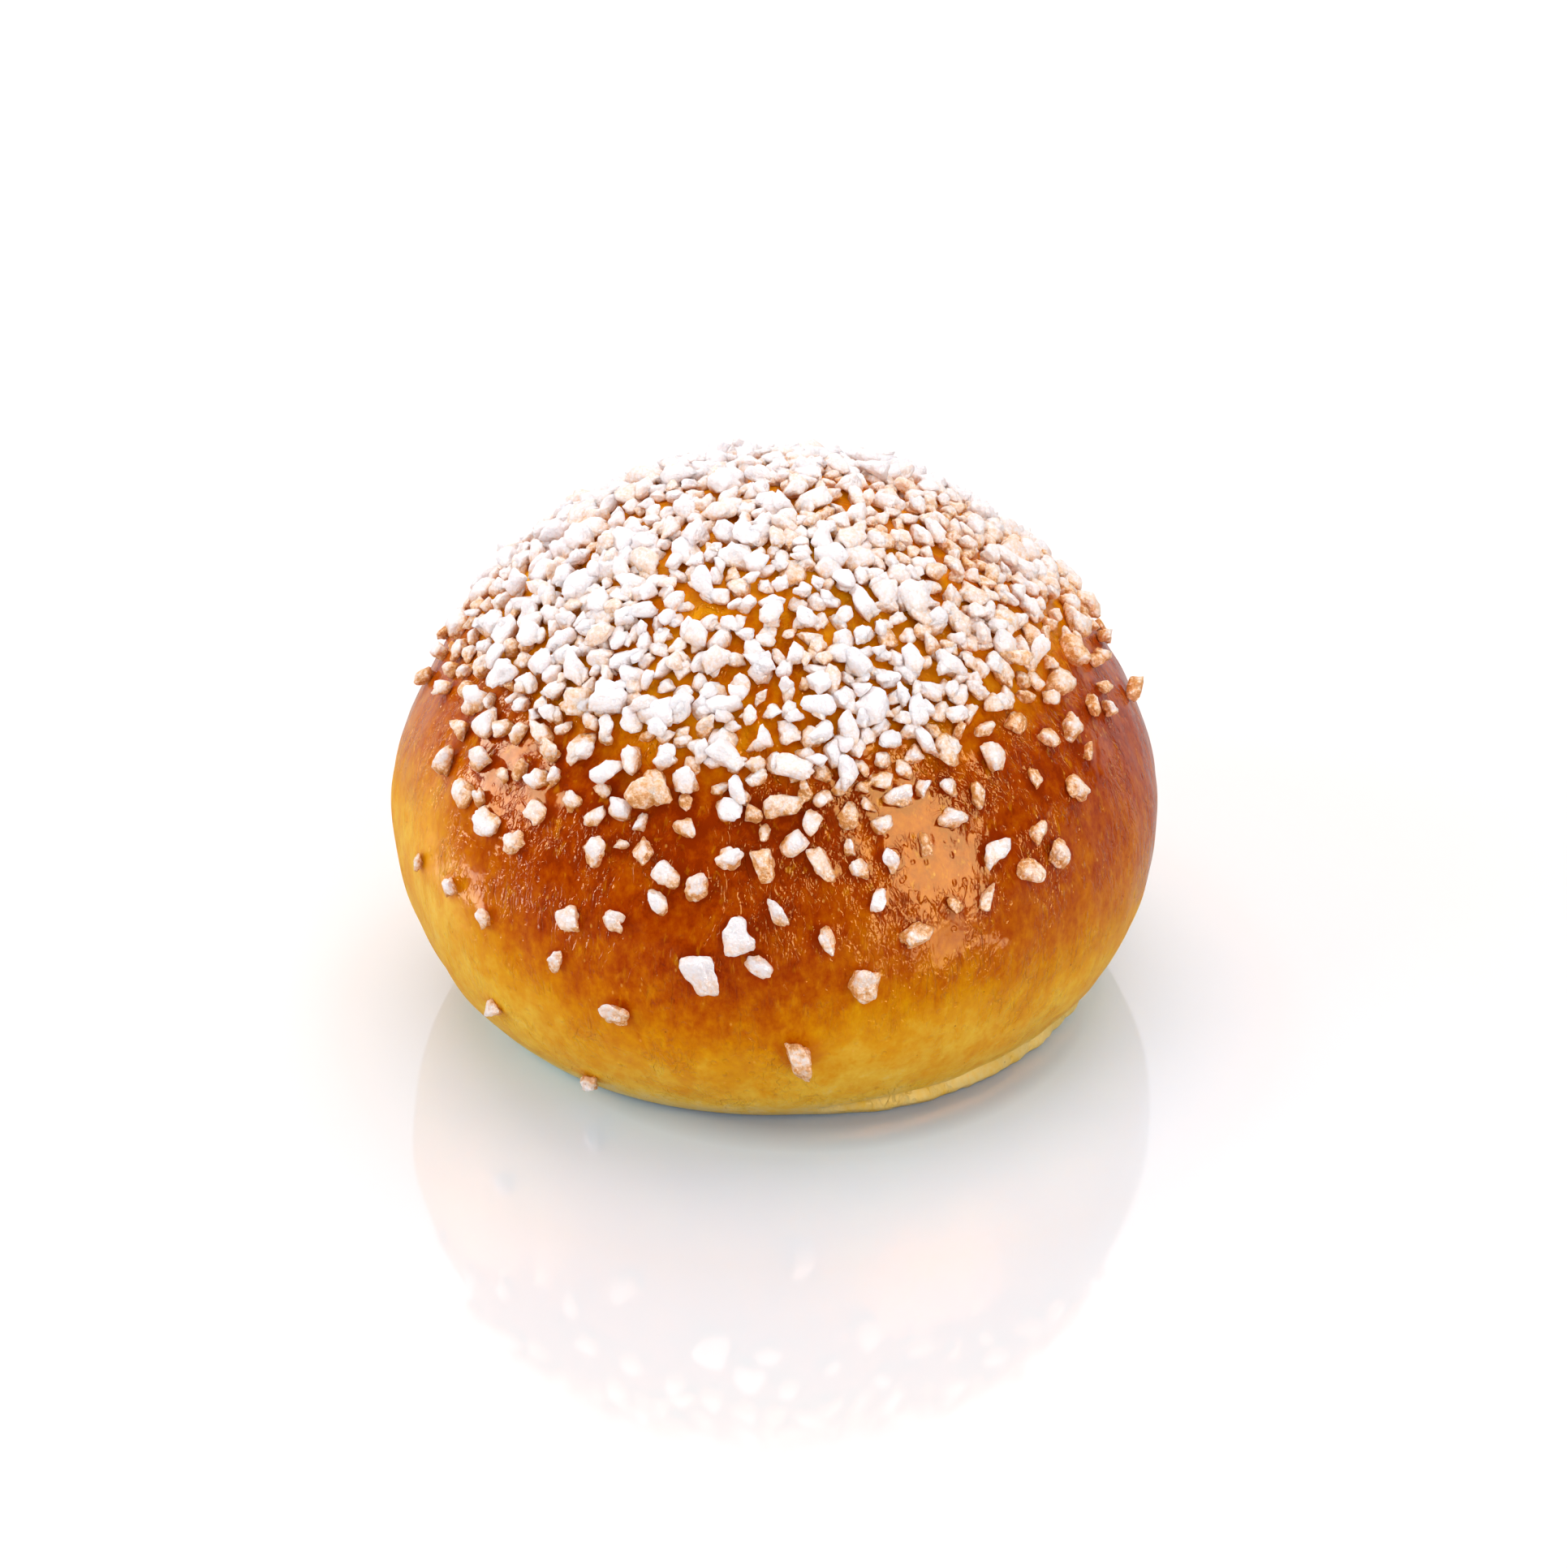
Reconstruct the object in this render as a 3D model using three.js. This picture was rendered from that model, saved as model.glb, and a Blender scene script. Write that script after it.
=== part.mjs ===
// A round brioche bun topped with pearl sugar.
//
// The bun was baked as one piece. Its sugar is in two kinds of piece: the nibs piled on the
// crown, which touch and have fused into one knobbly cap, and the single nibs that stuck to
// the egg wash below the cap's edge.
//
// Millimetres, +Z up. The origin is the centre of the flat face that the bun was baked on.

import * as THREE from 'three';
import { mergeVertices } from 'three/addons/utils/BufferGeometryUtils.js';

// Driving dimensions of the bun
const WAIST_RADIUS = 46;
const WAIST_HEIGHT = 23.9;
const DOME_HEIGHT = 39.2;
const DOME_SPREAD_POWER = 1.96;
const DOME_RISE_POWER = 1.6;
const WAIST_EASE = 0.15;
const FOOT_DEPTH = 34;
const FOOT_POWER = 2.3;
const FOOT_EDGE = 0.8;

// How the bun is out of true: its swell by harmonic of the azimuth, the tilt of its waist and
// the lean of its crown
const SWELL = { cos1: -0.0156, sin1: 0.0119, cos2: 0.0026, sin2: 0.0099, cos3: -0.0029 };
const WAIST_TILT = { x: -0.8, y: 0.85 };
const CROWN_LEAN = { x: -0.5, y: 0.9 };

// Driving dimensions of the sugar
const GLAZE_GAP = 0.35;
const CAP_EDGE_HEIGHT = 43.5;
const CAP_SKIN = 0.7;
const CAP_EDGE_SHARE = 0.12;
const CAP_EDGE_WAVES = [{ count: 5, rise: 0.9 }, { count: 11, rise: 0.8 }, { count: 23, rise: 0.7 }];
const CAP_NIB_SPACING = 4.6;
const CAP_NIB_REACH = 3.2;
const CAP_NIB_LOW = 1.2;
const CAP_NIB_HIGH = 3.4;
const NIB_CLEARANCE = 0.8;
const NIB_COUNT = 56;
const NIB_ZONE_BELOW_CAP = 6;
const NIB_ZONE_DEPTH = 14;
const SEED = 20;

// Single nibs with a place of their own: [azimuth in degrees, height, radius]
const PLACED_NIBS = [
  [-88, 14.5, 2.7], [-115, 19, 1.9], [-125, 4.5, 1.9], [-139, 12.5, 1.1],
  [-102, 26.5, 2.3], [-94, 27, 1.4], [-79, 25, 1.8], [-124, 24, 1.2],
  [-137, 25.5, 1.3], [-145, 27, 1.5], [-155, 26, 1.2], [-97, 30.5, 2.2],
  [-84, 30, 1.3], [-71, 29, 1.6], [-122, 29, 1.2], [-115, 30, 1.4],
  [-64, 31, 1.2], [-59, 31, 1.3], [-50, 32.5, 1.8], [-44, 32, 1.7],
  [-91, 33, 1.7], [-109, 33, 1.4], [-76, 33, 1.3], [-103, 35, 1.8],
  [-140, 35.5, 1.8], [-147, 36.5, 1.4], [-134, 35, 1.4], [-35, 37, 1.8],
  [-120, 37, 1.7], [-112, 38, 1.6], [-93, 37.5, 1.9], [-98, 38, 1.2],
  [-84, 37.5, 1.9], [-78, 36.5, 1.1], [-73, 37, 1.4], [-67, 37.5, 1.2],
];

// The other single nibs are scattered over the far side, between these azimuths in degrees
const SCATTERED_FROM = 38;
const SCATTERED_TO = 150;

// A nib's shape: how far its corners stray from a ball, and its height against its width
const NIB_ROUGHNESS = 0.2;
const NIB_SQUAT = 0.8;

const BUN_SEGMENTS = 48;
const DOME_RINGS = 16;
const FOOT_RINGS = 7;
const CAP_SEGMENTS = 108;
const CAP_RINGS = 24;
const CAP_UNDER_STEP = 3;

// A repeatable stream of numbers from 0 to 1
function randomStream(seed) {
  let state = seed;
  return () => {
    state = (state + 0x6d2b79f5) | 0;
    let mixed = Math.imul(state ^ (state >>> 15), 1 | state);
    mixed = (mixed + Math.imul(mixed ^ (mixed >>> 7), 61 | mixed)) ^ mixed;
    return ((mixed ^ (mixed >>> 14)) >>> 0) / 4294967296;
  };
}

const between = (random, low, high) => low + (high - low) * random();

// How far the dome has closed at a share of its rise: a power, eased to stay round at the waist
function closing(rise) {
  const eased = Math.pow(rise * rise + WAIST_EASE * WAIST_EASE, DOME_RISE_POWER / 2);
  const atWaist = Math.pow(WAIST_EASE, DOME_RISE_POWER);
  const atCrown = Math.pow(1 + WAIST_EASE * WAIST_EASE, DOME_RISE_POWER / 2);
  return Math.min((eased - atWaist) / (atCrown - atWaist), 1);
}

// Radius of the true round bun at a height above its base
function crustRadius(height) {
  if (height >= WAIST_HEIGHT) {
    const closed = closing((height - WAIST_HEIGHT) / DOME_HEIGHT);
    return WAIST_RADIUS * Math.pow(1 - closed, 1 / DOME_SPREAD_POWER);
  }
  const drop = (WAIST_HEIGHT - height) / FOOT_DEPTH;
  return WAIST_RADIUS * Math.pow(1 - Math.pow(drop, FOOT_POWER), 1 / FOOT_POWER);
}

// Outward direction of the true round bun's outline at a height, as a [radial, upward] pair
function crustSlope(height) {
  const step = 0.05;
  const crown = WAIST_HEIGHT + DOME_HEIGHT;
  if (height > crown - step) return [0, 1];
  const narrowing = crustRadius(height - step) - crustRadius(height + step);
  return [2 * step, narrowing];
}

// Moves a point of the true round bun to where the lopsided bun has it
function settle(point) {
  const azimuth = Math.atan2(point.y, point.x);
  const rise = Math.max(0, (point.z - WAIST_HEIGHT) / DOME_HEIGHT);
  const waistShare = rise > 0 ? 1 - rise : point.z / WAIST_HEIGHT;
  const swell = 1
    + SWELL.cos1 * Math.cos(azimuth) + SWELL.sin1 * Math.sin(azimuth)
    + SWELL.cos2 * Math.cos(2 * azimuth) + SWELL.sin2 * Math.sin(2 * azimuth)
    + SWELL.cos3 * Math.cos(3 * azimuth);
  const tilt = WAIST_TILT.x * Math.cos(azimuth) + WAIST_TILT.y * Math.sin(azimuth);
  point.x = point.x * swell + CROWN_LEAN.x * rise;
  point.y = point.y * swell + CROWN_LEAN.y * rise;
  point.z += tilt * waistShare;
  return point;
}

// Place and outward direction on the crust at an azimuth in degrees and a height
function onCrust(azimuthDegrees, height) {
  const azimuth = THREE.MathUtils.degToRad(azimuthDegrees);
  const radius = crustRadius(height);
  const [radial, upward] = crustSlope(height);
  const outward = new THREE.Vector3(
    radial * Math.cos(azimuth), radial * Math.sin(azimuth), upward).normalize();
  const point = new THREE.Vector3(
    radius * Math.cos(azimuth), radius * Math.sin(azimuth), height);
  return { point: settle(point), outward };
}

// Keeps only positions and merges the vertices that faces share
function sealed(geometry) {
  geometry.deleteAttribute('normal');
  geometry.deleteAttribute('uv');
  return mergeVertices(geometry, 1e-4);
}

// The bun's outline from its base centre, round the foot and waist, to its crown
function bunOutline() {
  const outline = [new THREE.Vector2(0, 0), new THREE.Vector2(crustRadius(0) - FOOT_EDGE, 0)];
  for (let i = 0; i < FOOT_RINGS; i++) {
    const height = FOOT_EDGE + (WAIST_HEIGHT - FOOT_EDGE) * i / FOOT_RINGS;
    outline.push(new THREE.Vector2(crustRadius(height), height));
  }
  for (let i = 0; i < DOME_RINGS; i++) {
    const climb = (Math.PI / 2) * i / DOME_RINGS;
    const rise = Math.pow(Math.sin(climb), 2 / DOME_RISE_POWER);
    const height = WAIST_HEIGHT + DOME_HEIGHT * rise;
    outline.push(new THREE.Vector2(crustRadius(height), height));
  }
  outline.push(new THREE.Vector2(0, WAIST_HEIGHT + DOME_HEIGHT));
  return outline;
}

function bunGeometry() {
  const geometry = new THREE.LatheGeometry(bunOutline(), BUN_SEGMENTS);
  geometry.rotateX(Math.PI / 2);
  const positions = geometry.attributes.position;
  const point = new THREE.Vector3();
  for (let i = 0; i < positions.count; i++) {
    settle(point.fromBufferAttribute(positions, i));
    positions.setXYZ(i, point.x, point.y, point.z);
  }
  return sealed(geometry);
}

// One angular nib, its flat side bedded on the glaze at a place on the crust
function nibGeometry(place, radius, lift, random) {
  const geometry = sealed(new THREE.IcosahedronGeometry(radius, 0));
  const turn = new THREE.Quaternion().setFromEuler(
    new THREE.Euler(between(random, 0, 6), between(random, 0, 6), between(random, 0, 6)));
  const upright = new THREE.Quaternion().setFromUnitVectors(
    new THREE.Vector3(0, 0, 1), place.outward);
  const positions = geometry.attributes.position;
  const corner = new THREE.Vector3();
  for (let i = 0; i < positions.count; i++) {
    corner.fromBufferAttribute(positions, i).applyQuaternion(turn);
    corner.multiplyScalar(1 + between(random, -NIB_ROUGHNESS, NIB_ROUGHNESS));
    corner.z = Math.max(corner.z * NIB_SQUAT + lift, GLAZE_GAP);
    corner.applyQuaternion(upright).add(place.point);
    positions.setXYZ(i, corner.x, corner.y, corner.z);
  }
  return geometry;
}

// Heights from the crown down to the cap's edge, evenly spread along the crust
function capHeights(count) {
  const top = WAIST_HEIGHT + DOME_HEIGHT;
  const heights = [];
  for (let i = 0; i < count; i++) {
    const spread = crustRadius(CAP_EDGE_HEIGHT) * Math.sin((Math.PI / 2) * i / (count - 1));
    let [low, high] = [CAP_EDGE_HEIGHT, top];
    while (high - low > 1e-6) {
      const middle = (low + high) / 2;
      if (crustRadius(middle) > spread) low = middle;
      else high = middle;
    }
    heights.push(low);
  }
  heights[0] = top;
  return heights;
}

// Where the cap's nibs stand, in rings about the crown, and how high each one is
function capNibs(random) {
  const crustRun = 1.15 * crustRadius(CAP_EDGE_HEIGHT);
  const nibs = [];
  capHeights(Math.round(crustRun / CAP_NIB_SPACING)).forEach((height, ring) => {
    const count = Math.max(1, Math.round(2 * Math.PI * crustRadius(height) / CAP_NIB_SPACING));
    for (let i = 0; i < count; i++) {
      const azimuth = 360 * (i + 0.5 * (ring % 2) + between(random, -0.2, 0.2)) / count;
      const { point } = onCrust(azimuth, height);
      nibs.push({ point, height: between(random, CAP_NIB_LOW, CAP_NIB_HIGH) });
    }
  });
  return nibs;
}

// How far the cap's ragged edge rises and falls at an azimuth in degrees
function edgeRise(azimuthDegrees) {
  const azimuth = THREE.MathUtils.degToRad(azimuthDegrees);
  return CAP_EDGE_WAVES.reduce((sum, { count, rise }) => sum + rise * Math.sin(count * azimuth), 0);
}

// Thickness of the sugar over a point of the crust: that of the nib standing highest there
function capThickness(point, nibs) {
  let thickness = CAP_SKIN;
  for (const nib of nibs) {
    const away = point.distanceTo(nib.point) / CAP_NIB_REACH;
    if (away < 1) thickness = Math.max(thickness, nib.height * Math.pow(1 - away ** 3, 0.5));
  }
  return thickness;
}

// The fused nibs as one shell: a smooth underside over the glaze and a knobbly outside
function capGeometry(random) {
  const nibs = capNibs(random);
  const heights = capHeights(CAP_RINGS);
  const last = CAP_RINGS - 1;
  const under = heights.filter((_, ring) => ring % CAP_UNDER_STEP === 0 || ring === last);
  const outer = [...heights].reverse();
  const layers = [...under, ...outer];
  const outline = layers.map((height) => new THREE.Vector2(crustRadius(height), height));
  const top = WAIST_HEIGHT + DOME_HEIGHT;
  const geometry = new THREE.LatheGeometry(outline, CAP_SEGMENTS);
  const positions = geometry.attributes.position;
  for (let i = 0; i < positions.count; i++) {
    const layer = i % layers.length;
    const azimuth = 360 * (Math.floor(i / layers.length) % CAP_SEGMENTS) / CAP_SEGMENTS;
    const depth = (top - layers[layer]) / (top - CAP_EDGE_HEIGHT);
    const height = layers[layer] + edgeRise(azimuth) * depth ** 6;
    const { point, outward } = onCrust(azimuth, height);
    const taper = Math.min(1, (1 - depth) / CAP_EDGE_SHARE);
    const sugar = layer < under.length ? 0 : CAP_SKIN + (capThickness(point, nibs) - CAP_SKIN) * taper;
    point.addScaledVector(outward, GLAZE_GAP + sugar);
    positions.setXYZ(i, point.x, point.y, point.z);
  }
  return sealed(geometry);
}

// Places and sizes of the single nibs: the placed ones, then others on the far side that thin
// out downwards and keep clear of every nib before them
function singleNibs(random) {
  const nibs = PLACED_NIBS.map(([azimuth, height, radius]) => (
    { place: onCrust(azimuth, height), radius }));
  const highest = CAP_EDGE_HEIGHT - NIB_ZONE_BELOW_CAP;
  while (nibs.length < NIB_COUNT) {
    const height = highest - NIB_ZONE_DEPTH * Math.pow(random(), 1.6);
    const place = onCrust(between(random, SCATTERED_FROM, SCATTERED_TO), height);
    const radius = between(random, 1.1, 1.7);
    const clear = nibs.every((nib) => (
      nib.place.point.distanceTo(place.point) > 1.3 * (nib.radius + radius) + NIB_CLEARANCE));
    if (clear) nibs.push({ place, radius });
  }
  return nibs;
}

const crust = new THREE.MeshStandardMaterial({ color: 0xc4802e, roughness: 0.35, metalness: 0 });
const sugar = new THREE.MeshStandardMaterial({ color: 0xf4efec, roughness: 0.5, metalness: 0 });

function namedMesh(name, geometry, material) {
  const mesh = new THREE.Mesh(geometry, material);
  mesh.name = name;
  return mesh;
}

function brioche() {
  const random = randomStream(SEED);
  const group = new THREE.Group();
  group.add(namedMesh('bun', bunGeometry(), crust));
  group.add(namedMesh('sugar_cap', capGeometry(random), sugar));
  singleNibs(random).forEach(({ place, radius }, i) => {
    const name = `sugar_nib_${String(i + 1).padStart(2, '0')}`;
    group.add(namedMesh(name, nibGeometry(place, radius, radius * 0.55, random), sugar));
  });
  return group;
}

export default brioche();
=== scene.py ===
"""Brioche bun with pearl sugar: crust, sugar nibs, pale floor, soft studio light and camera."""
import math

import bmesh
import bpy
import numpy as np
from mathutils import Matrix, Vector
from mathutils.kdtree import KDTree


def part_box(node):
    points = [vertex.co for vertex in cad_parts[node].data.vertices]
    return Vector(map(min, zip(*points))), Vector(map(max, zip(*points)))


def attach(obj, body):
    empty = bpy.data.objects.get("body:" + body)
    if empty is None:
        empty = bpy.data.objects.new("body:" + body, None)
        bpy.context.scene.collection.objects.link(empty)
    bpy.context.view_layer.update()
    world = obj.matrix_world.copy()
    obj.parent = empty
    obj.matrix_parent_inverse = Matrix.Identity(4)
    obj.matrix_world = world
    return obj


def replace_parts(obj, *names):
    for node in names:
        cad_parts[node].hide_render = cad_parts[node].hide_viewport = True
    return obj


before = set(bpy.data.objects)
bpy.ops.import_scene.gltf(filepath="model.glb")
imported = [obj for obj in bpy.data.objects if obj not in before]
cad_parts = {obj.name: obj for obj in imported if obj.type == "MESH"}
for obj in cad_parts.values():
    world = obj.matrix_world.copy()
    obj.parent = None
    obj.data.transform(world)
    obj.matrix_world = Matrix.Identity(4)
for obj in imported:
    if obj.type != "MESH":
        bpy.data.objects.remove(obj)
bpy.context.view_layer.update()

MM = 0.001
random = np.random.default_rng(11)

# ---------------------------------------------------------------------------------------------
# Driving dimensions, in millimetres and degrees. Azimuth 0 is +X and the camera stands at -90.
# ---------------------------------------------------------------------------------------------

# The crust, as the CAD bun has it
WAIST_RADIUS = 46
WAIST_HEIGHT = 23.9
CROWN_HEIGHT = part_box("bun")[1].z / MM
DOME_HEIGHT = CROWN_HEIGHT - WAIST_HEIGHT
DOME_SPREAD_POWER = 1.96
DOME_RISE_POWER = 1.6
WAIST_EASE = 0.15
FOOT_DEPTH = 34
FOOT_POWER = 2.3
SWELL = {"cos1": -0.0156, "sin1": 0.0119, "cos2": 0.0026, "sin2": 0.0099, "cos3": -0.0029}
WAIST_TILT = (-0.8, 0.85)
CROWN_LEAN = (-0.5, 0.9)

# The fine crust mesh: rings at even steps up the foot and flank, then closer over the crown
CRUST_COLUMNS = 420
LOWEST_RING = 0.15
FOOT_TOP = 4
FOOT_STEP = 0.25
FLANK_TOP = 44
FLANK_STEP = 0.5
CROWN_RINGS = 36
UNDER_RING_SHARES = (0.985, 0.95, 0.8, 0.55, 0.28)
EDGE_ROUND = 0.7

# The pale lip at the foot: how high it is, and the azimuths where it is strongest
LIP_HEIGHT = 2.1
LIP_AZIMUTH = -30
BACK_LIP_AZIMUTH = 110

# The egg wash that gathers round a nib, and the painted shade that goes with it: how far it rises
# and reaches, and a gap beyond its reach
WASH_RISE = 0.13
WASH_REACH = 0.55
WASH_NONE = 9.0

# How brown the underside is, from 0, cream, to 1, dark
UNDER_BROWN = 0.62

# Height at which the crust turns from yellow to brown, by azimuth
BROWNING_LINE = [
    (-180, 33), (-155, 36), (-135, 23), (-121, 15.5), (-104, 13), (-92, 15.5), (-80, 20.5),
    (-66, 22), (-42, 18.8), (-10, 19), (40, 26), (90, 24), (140, 27), (180, 33),
]

# Height of the sugar cap's edge, by azimuth
CAP_EDGE = [
    (-180, 45.5), (-155, 45), (-138, 42.5), (-118, 40.5), (-100, 40), (-80, 40.5), (-60, 43),
    (-40, 45.5), (-20, 46.5), (0, 45.5), (20, 43), (60, 42), (140, 42.5), (180, 45.5),
]

# A scattered nib's shortest and longest length, and the power that makes most of them short
NIB_LONG = (2.3, 4.9)
NIB_LENGTH_POWER = 1.6

# A single nib's length from its CAD box: a share of the longest side, and a length added to it
SINGLE_SHARE = 0.85
SINGLE_EXTRA = 1.1

# How far a nib may rise, and the share of what is below its middle that stands clear of the crust
NIB_RISE = 2.5
NIB_CLEAR = 0.68

# The azimuth round which the nibs are tinted tan as painted shade
SHADED_NIB_AZIMUTH = -12

# Subdivisions of a cap nib and of a single nib, and the number of pieces the cap is made in
NIB_DETAIL = 3
SINGLE_DETAIL = 4
CAP_PIECES = 8

# Patches of the cap where the nibs stand further apart: their size, and how much further
PATCH_SIZE = 10
PATCH_GAP = 0.32

# The studio's brightness where 1 is white: as light, and as gloss shows it
ROOM_LIGHT = 0.62
ROOM_GLOSS = 0.1

# A gleam on the floor, in metres: across and away from the bun
GLEAM_SIZE = (0.3, 0.045)

# How far a ray leans to +Y where the bright far wall starts, and where it is fully bright
FAR_WALL = (0.45, 0.8)

# The floor's half width, in metres
FLOOR_HALF = 8.0

# The camera
VIEW_TARGET = (0.14, 10.5, 19.3)
VIEW_ELEVATION = 28.5
VIEW_DISTANCE = 588
VIEW_ROLL = -1.11
LENS = 109.5


# ---------------------------------------------------------------------------------------------
# Helpers
# ---------------------------------------------------------------------------------------------

def lattice_value(x, y, z, seed):
    """A repeatable number from -1 to 1 for each whole-number cell."""
    mixed = (x * 73856093 ^ y * 19349663 ^ z * 83492791 ^ seed * 265443577) & 0xFFFFFFFF
    mixed = (mixed ^ (mixed >> 15)) * 1274126177 & 0xFFFFFFFF
    mixed = (mixed ^ (mixed >> 13)) * 1103515245 & 0xFFFFFFFF
    return (mixed >> 8 & 0xFFFF) / 32767.5 - 1


def noise(points, wavelength, seed):
    """Smooth noise from -1 to 1 at each point; wavelength is one number or one per axis."""
    places = np.asarray(points, float) / wavelength
    cell = np.floor(places).astype(np.int64)
    share = places - cell
    share = share**3 * (share * (share * 6 - 15) + 10)
    total = np.zeros(places.shape[:-1])
    for corner in range(8):
        step = [corner & 1, corner >> 1 & 1, corner >> 2]
        weight = 1.0
        for axis in range(3):
            weight = weight * (share[..., axis] if step[axis] else 1 - share[..., axis])
        x, y, z = (cell[..., axis] + step[axis] for axis in range(3))
        total += weight * lattice_value(x, y, z, seed)
    return total


def smooth(values, low, high):
    """0 below low, 1 above high, and a smooth step between."""
    share = np.clip((values - low) / (high - low), 0, 1)
    return share * share * (3 - 2 * share)


def add_piece(name, points, faces, material, attributes=None):
    """A smooth-shaded mesh object from points in millimetres, riding on the row's one body."""
    mesh = bpy.data.meshes.new(name)
    mesh.from_pydata((np.asarray(points) * MM).tolist(), [], faces)
    mesh.shade_smooth()
    for key, values in (attributes or {}).items():
        data = mesh.attributes.new(key, "FLOAT", "POINT").data
        data.foreach_set("value", np.asarray(values, np.float32))
    mesh.materials.append(material)
    piece = bpy.data.objects.new(name, mesh)
    bpy.context.scene.collection.objects.link(piece)
    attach(piece, "root")
    return piece


# ---------------------------------------------------------------------------------------------
# The crust's shape
# ---------------------------------------------------------------------------------------------

def closing(rise):
    """How far the dome has closed at a share of its rise."""
    eased = (rise * rise + WAIST_EASE**2) ** (DOME_RISE_POWER / 2)
    at_waist = WAIST_EASE**DOME_RISE_POWER
    at_crown = (1 + WAIST_EASE**2) ** (DOME_RISE_POWER / 2)
    return np.clip((eased - at_waist) / (at_crown - at_waist), 0, 1)


def crust_radius(height):
    """Radius of the true round bun at each height."""
    height = np.asarray(height, float)
    closed = closing(np.maximum(height - WAIST_HEIGHT, 0) / DOME_HEIGHT)
    drop = np.maximum(WAIST_HEIGHT - height, 0) / FOOT_DEPTH
    dome = (1 - closed) ** (1 / DOME_SPREAD_POWER)
    foot = (1 - drop**FOOT_POWER) ** (1 / FOOT_POWER)
    return WAIST_RADIUS * np.where(height >= WAIST_HEIGHT, dome, foot)


def settle(points):
    """Moves points of the true round bun to where the lopsided bun has them."""
    x, y, z = points.T
    azimuth = np.arctan2(y, x)
    rise = np.maximum(z - WAIST_HEIGHT, 0) / DOME_HEIGHT
    waist_share = np.where(rise > 0, 1 - rise, z / WAIST_HEIGHT)
    swell = 1 + (
        SWELL["cos1"] * np.cos(azimuth) + SWELL["sin1"] * np.sin(azimuth)
        + SWELL["cos2"] * np.cos(2 * azimuth) + SWELL["sin2"] * np.sin(2 * azimuth)
        + SWELL["cos3"] * np.cos(3 * azimuth)
    )
    tilt = WAIST_TILT[0] * np.cos(azimuth) + WAIST_TILT[1] * np.sin(azimuth)
    return np.column_stack([
        x * swell + CROWN_LEAN[0] * rise,
        y * swell + CROWN_LEAN[1] * rise,
        z + tilt * waist_share,
    ])


def on_crust(azimuth, height):
    """Points and outward directions on the crust, at azimuths in radians and heights."""
    azimuth, height = np.broadcast_arrays(np.asarray(azimuth, float), np.asarray(height, float))
    radius = crust_radius(height)
    points = settle(np.column_stack([radius * np.cos(azimuth), radius * np.sin(azimuth), height]))
    step = 0.05
    below = crust_radius(np.maximum(height - step, 0))
    above = crust_radius(np.minimum(height + step, CROWN_HEIGHT))
    slope = (below - above) / (2 * step)
    outward = np.column_stack([np.cos(azimuth), np.sin(azimuth), slope])
    outward[height > CROWN_HEIGHT - step] = (0, 0, 1)
    return points, outward / np.linalg.norm(outward, axis=1, keepdims=True)


def crust_heights():
    """Heights of the crust mesh's rings, closer together near the base and over the crown."""
    foot = np.arange(LOWEST_RING, FOOT_TOP, FOOT_STEP)
    flank = np.arange(FOOT_TOP, FLANK_TOP, FLANK_STEP)
    start = math.asin((FLANK_TOP - WAIST_HEIGHT) / DOME_HEIGHT)
    climb = np.linspace(start, math.pi / 2, CROWN_RINGS)
    crown = WAIST_HEIGHT + DOME_HEIGHT * np.sin(climb[:-1])
    return np.concatenate([foot, flank, crown])


# ---------------------------------------------------------------------------------------------
# Where the nibs are
# ---------------------------------------------------------------------------------------------

def crust_finder():
    """A function that gives the crust's azimuth and height nearest to a point."""
    azimuths = np.radians(np.arange(0, 360, 1.0))
    heights = np.linspace(0.5, CROWN_HEIGHT - 0.3, 160)
    grid_azimuth, grid_height = (g.ravel() for g in np.meshgrid(azimuths, heights))
    points, _ = on_crust(grid_azimuth, grid_height)
    tree = KDTree(len(points))
    for i, point in enumerate(points):
        tree.insert(point, i)
    tree.balance()

    def find(point):
        _, i, _ = tree.find(point)
        return grid_azimuth[i], grid_height[i]
    return find


def single_nibs():
    """The CAD's single nibs: name, azimuth, height and length of each."""
    find = crust_finder()
    nibs = []
    for name in sorted(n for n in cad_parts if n.startswith("sugar_nib")):
        low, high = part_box(name)
        azimuth, height = find((low + high) / 2 / MM)
        nibs.append((name, azimuth, height, max(high - low) / MM))
    return nibs


def spread_heights(count, low, high):
    """Heights drawn evenly over the crust's area between two heights."""
    heights = np.linspace(low, high, 400)
    radius = crust_radius(heights)
    run = np.hypot(np.diff(heights), np.diff(radius))
    area = np.concatenate([[0], np.cumsum(run * (radius[1:] + radius[:-1]))])
    return np.interp(random.random(count) * area[-1], area, heights)


def scatter(tries, low, high, keep, packing, taken):
    """Azimuth, height and length of nibs that keep clear of those taken and of each other.

    keep and packing are functions of the height above the cap's edge: the chance that a try is
    kept, and how near two nibs may stand, as a share of their mean length.
    """
    azimuths = random.random(tries) * 2 * math.pi
    heights = spread_heights(tries, low, high)
    shortest, longest = NIB_LONG
    lengths = shortest + (longest - shortest) * random.random(tries) ** NIB_LENGTH_POWER
    chances = random.random(tries)
    points, _ = on_crust(azimuths, heights)
    angles, edges = zip(*CAP_EDGE)
    above = heights - np.interp(np.degrees(azimuths), angles, edges, period=360)
    spread = 1 + PATCH_GAP * smooth(noise(points, PATCH_SIZE, 31), 0.0, 0.6)
    places, sizes = [p for p, _ in taken], [s for _, s in taken]
    chosen = []
    for i in range(tries):
        if chances[i] > keep(above[i]):
            continue
        if places:
            gaps = np.linalg.norm(np.array(places) - points[i], axis=1)
            room = packing(above[i]) * spread[i] * 0.5 * (np.array(sizes) + lengths[i])
            if (gaps < room).any():
                continue
        places.append(points[i])
        sizes.append(lengths[i])
        chosen.append((azimuths[i], heights[i], lengths[i]))
    return chosen


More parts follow.
